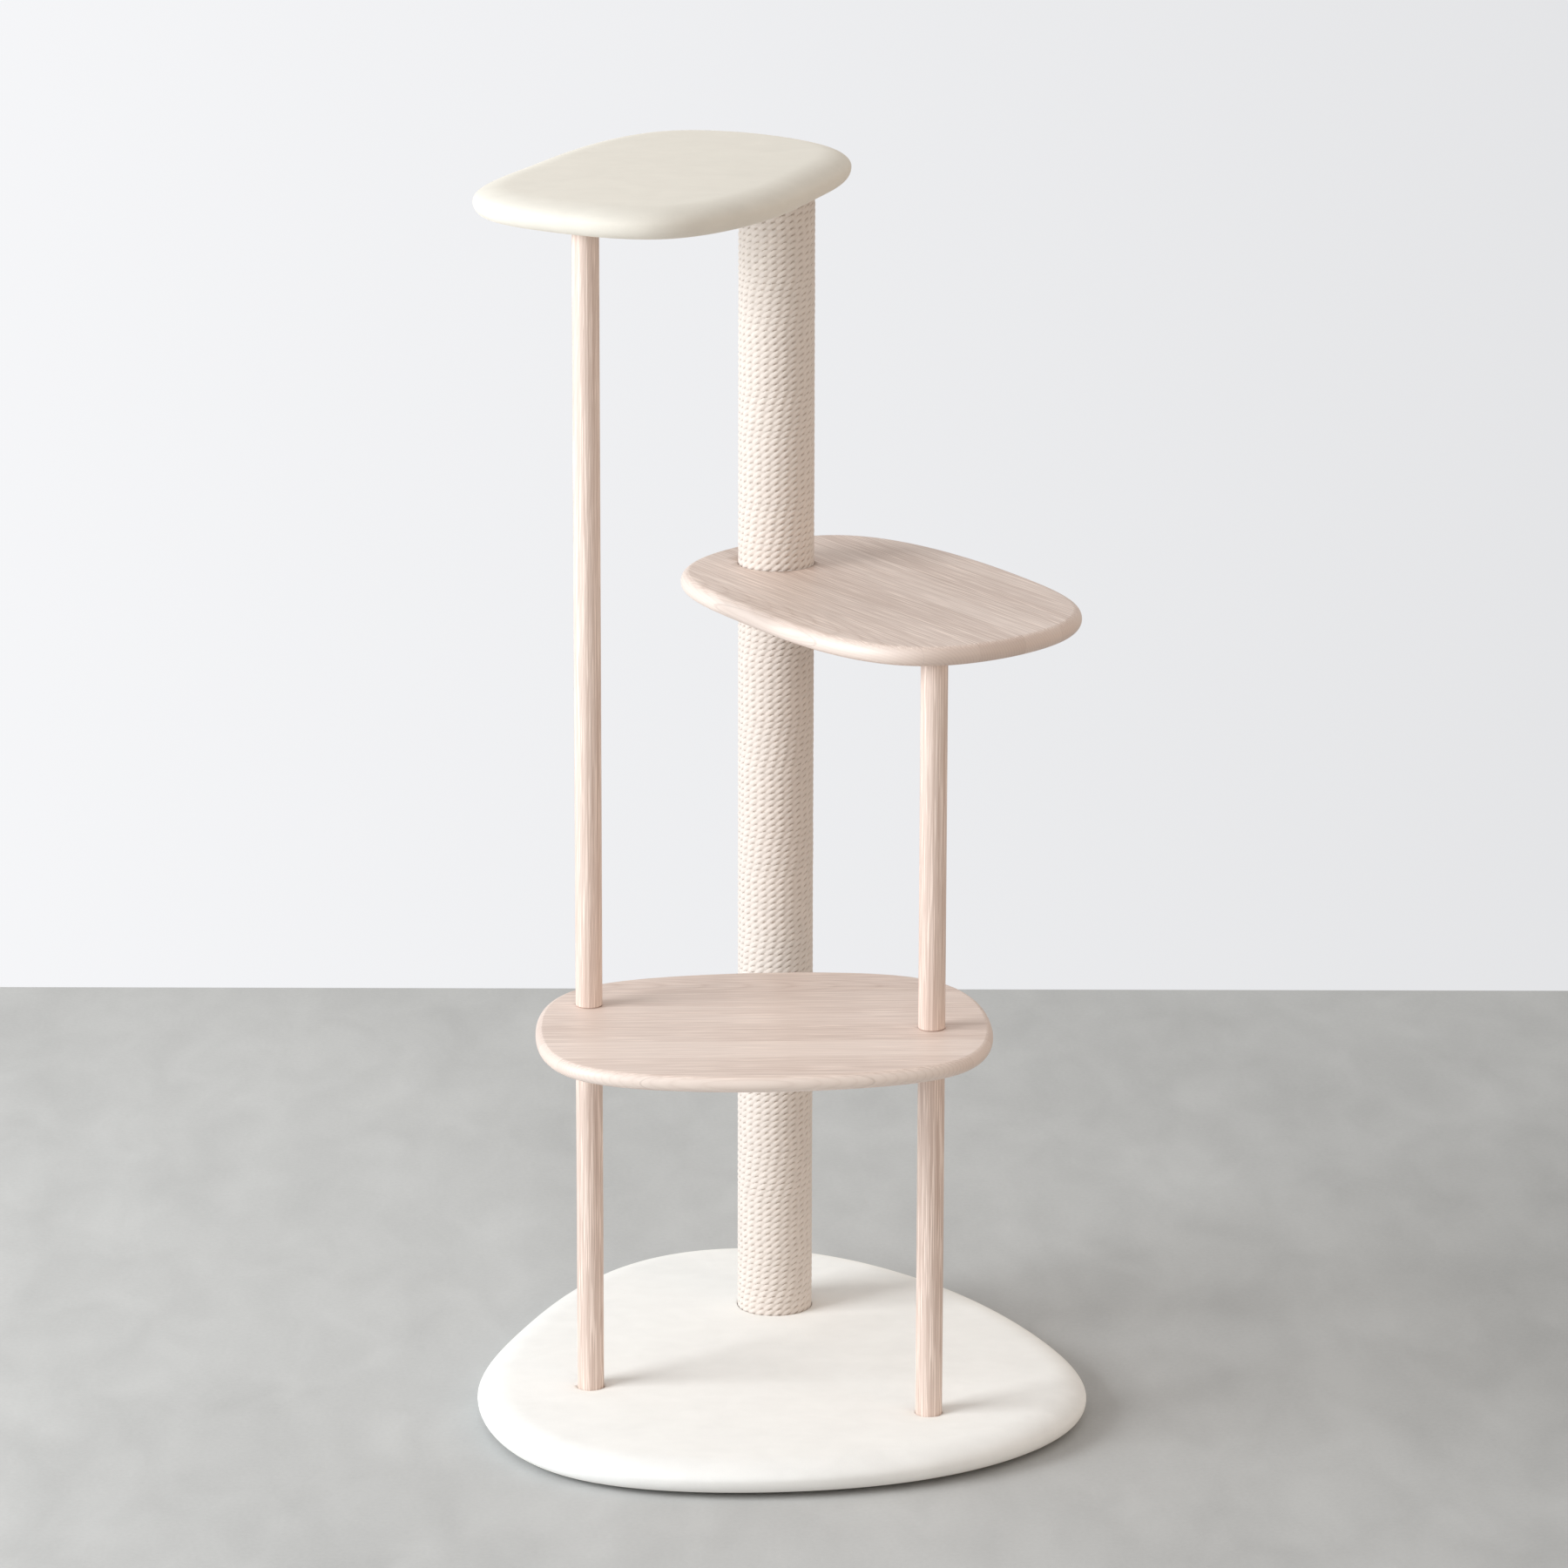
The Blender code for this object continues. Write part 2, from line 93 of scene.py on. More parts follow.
# Holes in the wood, and the posts' places in the covers
STUD_HOLE = 4.6 * MM      # radius
INSERT_HOLE = 6.8 * MM    # radius
INSERT_DEPTH = 21.0 * MM
ROPE_SEAT = 44.4 * MM     # radius of the middle shelf's recess
POST_RADIUS = 15.0 * MM
ROPE_POST_RADIUS = 43.5 * MM
CUT_PAST = 1.0 * MM       # how far a cutter reaches past a face
HOLE_PLAY = 0.3 * MM      # room past what stands in a blind hole
SNUG = 0.4 * MM           # how far a cover's hole stands clear of its post

# How the covers are meshed, and how coarse the cloth is against them
FLAP_REACH = 40 * MM      # how far a cover is turned in underneath
CLOTH_ROW_STEP = 4
CLOTH_COLUMN_STEP = 3
CLOTH_FRAMES = 20

# How strongly the growth rings show on a post's side, a shelf's face and end grain, and
# tints that the wood and rope are shifted towards: the end grain's own tint, a painted
# highlight on the shelves' rounded edges and painted shade deep between the rope's turns
POST_RINGS, SHELF_RINGS, END_RINGS = 0.18, 0.34, 0.42
END_GRAIN_TINT = (0.82, 0.74, 0.70)
PAINTED_RIM_HIGHLIGHT = (0.80, 0.745, 0.70)
ROPE_SHADOW = (0.330, 0.250, 0.200)

# The halves of the dowel posts, each with the seed of its grain, and the rope windings,
# each with its number of sleeves
WOODEN_POSTS = (("left_post_lower", 11.0), ("left_post_upper", 14.0),
                ("right_post_lower", 23.0), ("right_post_upper", 31.0))
ROPE_WINDINGS = (("rope_post_lower_winding", 3), ("rope_post_upper_winding", 2))


def low_corner(node):
    return Vector(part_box(node)[0])


def high_corner(node):
    return Vector(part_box(node)[1])


def axis_of(node):
    """The upright axis of a round node, as its place on the plan."""
    middle = (low_corner(node) + high_corner(node)) / 2
    return np.array((middle.x, middle.y))


# ---------------------------------------------------------------------------
# Sizes and colours a maker would change
# ---------------------------------------------------------------------------

def length(name, description, default):
    return bpy.props.FloatProperty(
        name=name, description=description, default=default, min=0.0, unit="LENGTH", precision=4)


def colour(name, description, default):
    return bpy.props.FloatVectorProperty(
        name=name, description=description, default=default, min=0.0, max=1.0,
        size=3, subtype="COLOR")


class CatTreeSizes(bpy.types.PropertyGroup):
    """Sizes of the surface detail; the pieces' own sizes come from the frame."""

    rope_diameter: length("Rope diameter", "Thickness of the cotton rope", 8.0 * MM)
    rope_pitch: length("Rope pitch", "Rise of the winding in one turn", 7.7 * MM)
    rope_lay: length("Rope lay", "Length in which a strand goes once round the rope", 29.84 * MM)
    lower_shelf_round: length("Lower shelf edge", "Radius of the lower shelf's edge", 9.15 * MM)
    mid_shelf_round: length("Middle shelf edge", "Radius of the middle shelf's edge", 11.1 * MM)
    post_chamfer: length("Post chamfer", "Chamfer on the ends of the dowel posts", 0.8 * MM)
    cover_thickness: length("Cover thickness", "Thickness of the velour", 1.5 * MM)
    cover_swell: length("Cover swell", "The most that the padding may lift the cover", 1.6 * MM)
    cover_shoulder: length("Cover shoulder", "Width of the covers' soft upper edge", 38.0 * MM)
    post_dip: length("Dip at posts", "How far the cover is drawn down at a post", 3.2 * MM)
    post_dip_reach: length("Reach of the dip", "How far from a post the dip fades out", 9.0 * MM)
    stave_width: length("Stave width", "Width of the staves glued up into a shelf", 62.0 * MM)
    ring_spacing: length("Growth rings", "Spacing of the growth rings in the ash", 3.4 * MM)


class CatTreeColours(bpy.types.PropertyGroup):
    """Colours of the materials."""

    ash_pale: colour("Ash, pale", "Limed ash between its growth rings", (0.850, 0.718, 0.645))
    ash_tan: colour("Ash, tan", "Limed ash on its growth rings", (0.535, 0.390, 0.322))
    base_velour: colour("Base velour", "Cream velour of the base", (0.885, 0.890, 0.880))
    perch_velour: colour("Perch velour", "Cream velour of the perch", (0.765, 0.735, 0.668))
    rope: colour("Rope", "Undyed cotton rope", (0.730, 0.665, 0.615))
    # painted shade: the dust cover under the base is made near black so that the gap under the
    # base's edge reads dark
    liner: colour("Liner", "Dust cover under the base", (0.030, 0.030, 0.032))
    feet: colour("Feet", "Non-slip pads", (0.050, 0.050, 0.052))
    plywood: colour("Plywood", "Boards and plugs inside", (0.620, 0.470, 0.320))
    foam: colour("Foam", "Padding inside the covers", (0.900, 0.860, 0.660))
    cardboard: colour("Tube", "Pressed paper tubes inside the rope", (0.550, 0.400, 0.260))
    zinc: colour("Zinc", "Plated bolts, studs, washers and nuts", (0.660, 0.670, 0.690))
    brass: colour("Brass", "Threaded inserts", (0.780, 0.600, 0.280))
    floor: colour("Floor", "Studio floor", (0.530, 0.535, 0.530))


# ---------------------------------------------------------------------------
# Meshes from arrays
# ---------------------------------------------------------------------------

def closed_spline(points, count):
    """`count` places and unit inward normals along an outline, anticlockwise.

    The closed uniform cubic B-spline of the control points; the normal is its tangent turned
    a quarter turn to the left. The result is in metres, on the outlines' own plan.
    """
    control = np.array(points[::-1], dtype=float) * MM
    step = np.arange(count) * len(control) / count
    span = step.astype(int)
    u = (step - span)[:, None]
    place_weights = ((1 - u) ** 3, 3 * u ** 3 - 6 * u ** 2 + 4,
                     -3 * u ** 3 + 3 * u ** 2 + 3 * u + 1, u ** 3)
    slope_weights = (-(1 - u) ** 2, 3 * u ** 2 - 4 * u, -3 * u ** 2 + 2 * u + 1, u ** 2)
    near = [control[(span + k - 1) % len(control)] for k in range(4)]
    place = sum(w * p for w, p in zip(place_weights, near)) / 6
    slope = sum(w * p for w, p in zip(slope_weights, near))
    slope /= np.linalg.norm(slope, axis=1)[:, None]
    return place, np.stack([-slope[:, 1], slope[:, 0]], axis=1)


def outline_shift():
    """From the outlines' own plan to the frame: centres the base's outline on its cover."""
    place, _ = closed_spline(BASE_POINTS, 1000)
    middle = (low_corner("base_cover") + high_corner("base_cover")) / 2
    return np.array((middle.x, middle.y)) - (place.min(axis=0) + place.max(axis=0)) / 2


OUTLINE_SHIFT = outline_shift()


def outline(points, count, node):
    """An outline in the frame, checked against the box of its node."""
    place, inward = closed_spline(points, count)
    place = place + OUTLINE_SHIFT
    gap = max(abs(place.min(axis=0) - low_corner(node).to_2d()).max(),
              abs(place.max(axis=0) - high_corner(node).to_2d()).max())
    if gap > 2 * MM:
        raise RuntimeError(f"the outline of {node} is {gap / MM:.1f} mm off its frame")
    return place, inward


def grid_mesh(name, points):
    """A closed surface from a grid of points, shaped (rows, columns, 3).

    Columns run round and join up; the first and last rows are single points, the poles.
    Each cell is one four-sided face, and each pole has a fan of triangles.
    """
    rows, columns = points.shape[:2]
    places = np.concatenate([points[0, :1], points[1:-1].reshape(-1, 3), points[-1, :1]])
    index = 1 + np.arange((rows - 2) * columns).reshape(rows - 2, columns)
    beside = np.roll(index, -1, axis=1)
    first = np.zeros_like(index[0])
    last = np.full_like(first, len(places) - 1)
    cells = np.stack([index[:-1], beside[:-1], beside[1:], index[1:]], axis=-1).reshape(-1, 4)
    fans = np.concatenate([
        np.stack([first, beside[0], index[0]], axis=-1),
        np.stack([index[-1], beside[-1], last], axis=-1),
    ])
    return mesh_of(name, places, cells, fans)


def with_height(plan, height):
    """Places on the plan, shaped (rows, columns, 2), each row at its own height."""
    return np.concatenate(
        [plan, np.broadcast_to(height[:, None, None], (*plan.shape[:2], 1))], axis=-1)


def stepped_outline(place, inward, shrink, inset, height):
    """Rows of points: the outline moved in along its normals by each row's inset, then
    shrunk towards its middle by the row's share, at the row's height."""
    centre = place.mean(axis=0)
    ring = place[None] + inset[:, None, None] * inward[None]
    return with_height(centre + shrink[:, None, None] * (ring - centre), height)


def read_places(mesh):
    """The mesh's vertices as an array, one row each."""
    places = np.empty(len(mesh.vertices) * 3, np.float32)
    mesh.vertices.foreach_get("co", places)
    return places.reshape(-1, 3)


def mesh_of(name, places, cells, triangles=None):
    """A mesh from arrays of places, four-sided faces and triangles."""
    if triangles is None:
        triangles = np.zeros((0, 3), dtype=int)
    corners = np.concatenate([cells.ravel(), triangles.ravel()])
    starts = np.concatenate([
        np.arange(len(cells)) * 4, len(cells) * 4 + np.arange(len(triangles)) * 3])
    mesh = bpy.data.meshes.new(name)
    mesh.vertices.add(len(places))
    mesh.vertices.foreach_set("co", places.astype(np.float32).ravel())
    mesh.loops.add(len(corners))
    mesh.loops.foreach_set("vertex_index", corners.astype(np.int32))
    mesh.polygons.add(len(starts))
    mesh.polygons.foreach_set("loop_start", starts.astype(np.int32))
    mesh.update(calc_edges=True)
    mesh.validate()
    return mesh


def put_in_scene(name, data):
    """A new object of the data, in the scene."""
    made = bpy.data.objects.new(name, data)
    bpy.context.scene.collection.objects.link(made)
    return made


def place_piece(mesh, material, node, crease):
    """The mesh as a finished piece that stands for a CAD node and rides on the frame."""
    mesh.materials.append(material)
    mesh.shade_smooth()
    mesh.set_sharp_from_angle(angle=math.radians(crease))
    piece = put_in_scene(mesh.name, mesh)
    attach(piece, "root")
    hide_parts(node)
    return piece


def turned_mesh(name, axis, profile, sides):
    """A body of revolution: the (radius, height) profile, from pole to pole, turned about
    the upright axis at a place on the plan."""
    radius, height = np.array(profile, dtype=float).T[:, :, None]
    turn = np.arange(sides)[None, :] * FULL_TURN / sides
    points = np.stack([
        axis[0] + radius * np.cos(turn),
        axis[1] + radius * np.sin(turn),
        height + 0 * turn,
    ], axis=-1)
    return grid_mesh(name, points)


def bore(piece, holes, sides=96):
    """Cut upright round holes out of a finished piece. Each is a place on the plan and the
    (radius, height) steps of its wall, from the bottom up."""
    for at, wall in holes:
        cutter = put_in_scene("cutter", turned_mesh(
            "cutter", at, [(0, wall[0][1]), *wall, (0, wall[-1][1])], sides))
        cut = piece.modifiers.new("hole", "BOOLEAN")
        cut.object = cutter
        cut.solver = "EXACT"
        graph = bpy.context.evaluated_depsgraph_get()
        cut_mesh = bpy.data.meshes.new_from_object(piece.evaluated_get(graph))
        piece.modifiers.clear()
        whole = piece.data
        piece.data = cut_mesh
        cut_mesh.name = whole.name
        bpy.data.meshes.remove(whole)
        cutter_mesh = cutter.data
        bpy.data.objects.remove(cutter)
        bpy.data.meshes.remove(cutter_mesh)


# ---------------------------------------------------------------------------
# Materials
# ---------------------------------------------------------------------------

class Nodes:
    """A node tree in the making. Each method adds a node and returns its output."""

    def __init__(self, tree):
        self.tree = tree

    def add(self, kind, inputs, output=0, **settings):
        made = self.tree.nodes.new(kind)
        for key, value in settings.items():
            setattr(made, key, value)
        for key, value in inputs.items():
            if isinstance(value, bpy.types.NodeSocket):
                self.tree.links.new(value, made.inputs[key])
            else:
                made.inputs[key].default_value = value
        return made.outputs[output]

    def split(self, vector):
        """A vector's X, Y and Z."""
        made = self.tree.nodes.new("ShaderNodeSeparateXYZ")
        self.tree.links.new(vector, made.inputs[0])
        return made.outputs

    def place(self, rotation=(0, 0, 0), shift=(0, 0, 0), scale=(1, 1, 1)):
        """Object coordinates, scaled, then turned, then shifted."""
        coordinates = self.add("ShaderNodeTexCoord", {}, "Object")
        return self.stretch(coordinates, scale, rotation, shift)

    def stretch(self, vector, scale, rotation=(0, 0, 0), shift=(0, 0, 0)):
        return self.add("ShaderNodeMapping", {
            "Vector": vector, "Scale": scale, "Rotation": rotation, "Location": shift})

    def math(self, operation, first, second=0.0, clamp=False):
        return self.add("ShaderNodeMath", {0: first, 1: second},
                        operation=operation, use_clamp=clamp)

    def total(self, *parts, clamp=False):
        """The parts added up in order, and kept within 0..1 if asked."""
        result = parts[0]
        for part in parts[1:-1]:
            result = self.math("ADD", result, part)
        return self.math("ADD", result, parts[-1], clamp)

    def facing(self, direction):
        """1 where the surface faces along the direction, either way, and 0 side on."""
        normal = self.add("ShaderNodeNewGeometry", {}, "Normal")
        return self.math("ABSOLUTE", self.add(
            "ShaderNodeVectorMath", {0: normal, 1: direction}, "Value",
            operation="DOT_PRODUCT"))

    def noise(self, vector, scale, detail=2.0, distortion=0.0):
        return self.add("ShaderNodeTexNoise", {
            "Vector": vector, "Scale": scale, "Detail": detail, "Distortion": distortion})

    def levels(self, value, low, high, to_low=0.0, to_high=1.0):
        """Stretch a value's range from low..high to to_low..to_high."""
        return self.add("ShaderNodeMapRange", {
            "Value": value, "From Min": low, "From Max": high,
            "To Min": to_low, "To Max": to_high})

    def ramp(self, value, stops):
        made = self.tree.nodes.new("ShaderNodeValToRGB")
        self.tree.links.new(value, made.inputs[0])
        marks = made.color_ramp.elements
        while len(marks) < len(stops):
            marks.new(0.5)
        for mark, (position, level) in zip(marks, stops):
            mark.position = position
            mark.color = (level, level, level, 1)
        return made.outputs[0]

    def mix(self, factor, first, second, blend="MIX"):
        first, second = (
            value if isinstance(value, bpy.types.NodeSocket) else (*value, 1.0)
            for value in (first, second))
        return self.add("ShaderNodeMix", {0: factor, 6: first, 7: second}, 2,
                        data_type="RGBA", blend_type=blend)


class Finish(Nodes):
    """A Principled material in the making."""

    def __init__(self, name, **constants):
        self.material = bpy.data.materials.new(name)
        self.material.use_nodes = True
        super().__init__(self.material.node_tree)
        self.shader = self.tree.nodes["Principled BSDF"]
        for socket, value in constants.items():
            self.shader.inputs[socket.replace("_", " ")].default_value = value

    def surface(self, colour, roughness=None, height=None, relief=0.0, strength=1.0):
        """Join up the shader's colour, roughness and bump; relief is the bump's real height."""
        self.tree.links.new(colour, self.shader.inputs["Base Color"])
        if roughness is not None:
            self.tree.links.new(roughness, self.shader.inputs["Roughness"])
        if height is not None:
            bump = self.add("ShaderNodeBump", {
                "Height": height, "Distance": relief, "Strength": strength})
            self.tree.links.new(bump, self.shader.inputs["Normal"])
        return self.material


def chosen(name):
    """The colour that the panel holds under a name."""
    return tuple(getattr(bpy.context.scene.cat_tree_colours, name))


def shade(tint, amount):
    """The colour made darker, or lighter with an amount over 1."""
    return tuple(min(1.0, channel * amount) for channel in tint)


def limed_ash(name, rotation, shift, grain_axis, stave_width=0.0, seed=0.0, tilt=0.03,
              depth=0.0):
    """Limed ash: growth rings round a tree axis that lies along the first coordinate.

    rotation and shift bring the grain onto the first coordinate. Each stave across the
    grain gets its own random tree axis, so rings run straight, as flames or as arcs where
    the end grain shows. Fine limed pores are noise drawn out along the grain.
    """
    pale, tan = chosen("ash_pale"), chosen("ash_tan")
    ash = Finish(name, Roughness=0.5, Specular_IOR_Level=0.4, Coat_Weight=0.5,
                 Coat_Roughness=0.45)
    grain = ash.place(rotation, shift)
    along, across, up = ash.split(grain)
    stave = ash.math("FLOOR", ash.math("DIVIDE", across, stave_width or 1.0))
    pick = ash.add("ShaderNodeTexWhiteNoise", {"W": ash.math("ADD", stave, seed)}, "Color",
                   noise_dimensions="1D")
    random = ash.tree.nodes.new("ShaderNodeSeparateColor")
    ash.tree.links.new(pick, random.inputs[0])
    first, second, third = random.outputs
    sway = ash.noise(ash.stretch(grain, (1.6, 9, 9), shift=(seed, seed, 0)), 1.0, 1.5)
    lean = ash.math("MULTIPLY", along, ash.levels(third, 0, 1, -tilt, tilt))
    sink = ash.math("MULTIPLY", along, ash.levels(first, 0, 1, -3 * tilt, 3 * tilt))
    side = ash.total(across, lean, ash.levels(first, 0, 1, -0.05, 0.05),
                     ash.levels(sway, 0, 1, -0.012, 0.012))
    below = ash.total(up, sink, ash.levels(second, 0, 1, 0.012, 0.075))
    radius = ash.math("SQRT", ash.total(
        ash.math("MULTIPLY", side, side), ash.math("MULTIPLY", below, below)))
    ring = ash.math("FRACT", ash.math(
        "DIVIDE", radius, bpy.context.scene.cat_tree_sizes.ring_spacing))
    band = ash.ramp(ring, ((0.0, 0.85), (0.16, 0.30), (0.5, 0.0), (0.86, 0.22), (1.0, 0.85)))
    streak = ash.noise(ash.stretch(grain, (4.5, 600, 600)), 1.0, 2.0)
    pores = ash.noise(ash.stretch(grain, (14, 780, 780)), 1.0, 1.0)
    cloud = ash.noise(ash.stretch(grain, (2.5, 14, 14), shift=(seed, 0, 0)), 1.0, 2.0)
    end_grain = ash.levels(ash.facing(grain_axis), 0.35, 0.85, 0.0, 1.0)
    side_grain = ash.math("SUBTRACT", 1.0, end_grain)
    if stave_width:  # the rounded edge is sanded smoother than the flat faces
        flatness = ash.levels(ash.facing((0, 0, 1)), 0.55, 0.98, 0.18, 1.0)
        side_grain = ash.math("MULTIPLY", side_grain, flatness)
    fine = ash.math("MULTIPLY", ash.levels(streak, 0.3, 0.7, -0.22, 0.34), side_grain)
    strength = ash.levels(end_grain, 0.0, 1.0, SHELF_RINGS if stave_width else POST_RINGS,
                          END_RINGS)
    toned = ash.total(ash.math("MULTIPLY", band, strength), fine,
                      ash.levels(cloud, 0.3, 0.7, depth - 0.06, depth + 0.12),
                      ash.levels(third, 0, 1, -0.08, 0.20), clamp=True)
    wood = ash.mix(toned, pale, tan)
    lime = ash.math("MULTIPLY", ash.levels(pores, 0.55, 0.66, 0.0, 0.85), side_grain)
    wood = ash.mix(lime, wood, shade(pale, 1.15))
    wood = ash.mix(ash.math("MULTIPLY", end_grain, 0.9), wood,
                   ash.mix(1.0, wood, END_GRAIN_TINT, "MULTIPLY"))
    if stave_width:
        seam = ash.math("FRACT", ash.math("DIVIDE", across, stave_width))
        seam = ash.math("ABSOLUTE", ash.math("SUBTRACT", seam, 0.5))
        wood = ash.mix(ash.levels(seam, 0.4935, 0.4975, 0.0, 0.45), wood, shade(tan, 0.75))
        # painted highlight: where the surface turns side on, round the edge, it is mixed up to a
        # third of the way towards a pale tint, in place of the soft box's gloss on the edge
        rim_highlight = ash.levels(ash.facing((0, 0, 1)), 0.55, 0.98, 0.35, 0.0)
        wood = ash.mix(rim_highlight, wood, PAINTED_RIM_HIGHLIGHT)
    height = ash.math("SUBTRACT", ash.math("MULTIPLY", band, -0.4), lime)
    gloss = ash.levels(streak, 0.3, 0.7, 0.46, 0.6)
    return ash.surface(wood, gloss, height, relief=0.12 * MM, strength=0.35)


def velour(name, tint, seed):
    """Short-pile velour: brushed nap in soft patches, a fine pile, and sheen at the edges."""
    cloth = Finish(name, Roughness=0.95, Specular_IOR_Level=0.12, Sheen_Weight=0.45,
                   Sheen_Roughness=0.45, Sheen_Tint=(1.0, 0.945, 0.85, 1.0))
    spot = cloth.place(shift=(seed, seed, 0))
    patches = cloth.noise(spot, 13.0, 5.0, 0.9)
    brushed = cloth.noise(cloth.stretch(spot, (30, 55, 40), (0, 0, 0.9)), 1.0, 4.0, 0.5)
    pile = cloth.noise(spot, 950.0, 2.0)
    nap = cloth.total(cloth.levels(patches, 0.3, 0.7, 0.0, 0.65),
                      cloth.levels(brushed, 0.3, 0.7, 0.0, 0.35),
                      cloth.levels(pile, 0.2, 0.8, -0.25, 0.25), clamp=True)
    fabric = cloth.mix(nap, shade(tint, 0.955), shade(tint, 1.035))
    height = cloth.total(pile, cloth.math("MULTIPLY", brushed, 0.8))
    return cloth.surface(fabric, None, height, relief=0.35 * MM, strength=0.4)


def cotton_rope(name):
    """Twisted cotton: fibres that run along the strands, darker deep between the turns."""
    tint = chosen("rope")
    rope = Finish(name, Roughness=0.92, Specular_IOR_Level=0.15, Sheen_Weight=0.25,
                  Sheen_Roughness=0.5)
    depth = rope.add("ShaderNodeAttribute", {}, "Fac", attribute_name="hollow")
    strand = rope.add("ShaderNodeAttribute", {}, "Vector", attribute_name="strand")
    fibres = rope.noise(rope.stretch(strand, (60, 2600, 1)), 1.0, 2.0)
    yarns = rope.noise(rope.stretch(strand, (25, 900, 1)), 1.0, 1.0)
    slubs = rope.noise(rope.place(), 70.0, 2.0)
    tone = rope.total(rope.levels(fibres, 0.3, 0.7, 0.0, 0.5),
                      rope.levels(slubs, 0.3, 0.7, 0.0, 0.5), clamp=True)
    cotton = rope.mix(tone, shade(tint, 0.94), shade(tint, 1.06))
    cotton = rope.mix(rope.levels(depth, 0.38, 0.58, 0.0, 0.60), cotton, ROPE_SHADOW)
    height = rope.total(rope.math("MULTIPLY", fibres, 0.5), yarns)
    return rope.surface(cotton, None, height, relief=0.35 * MM, strength=0.6)


def plain_finish(name, tint, roughness, grain, relief, metallic=0.0, stretch=(1, 1, 1)):
    """A finish for parts inside or underneath: mottled tint, uneven gloss and a fine relief."""
    plain = Finish(name, Roughness=roughness, Metallic=metallic)
    spot = plain.place(scale=stretch)
    fine = plain.noise(spot, grain, 3.0)
    broad = plain.noise(spot, grain * 0.08, 3.0)
    tone = plain.total(plain.levels(fine, 0.3, 0.7, 0.0, 0.5),
                       plain.levels(broad, 0.3, 0.7, 0.0, 0.5), clamp=True)
    body = plain.mix(tone, shade(tint, 0.86), shade(tint, 1.10))
    gloss = plain.levels(broad, 0.3, 0.7, roughness * 0.85, min(1.0, roughness * 1.15))
    return plain.surface(body, gloss, fine, relief=relief, strength=0.5)


# ---------------------------------------------------------------------------
# Operators
# ---------------------------------------------------------------------------

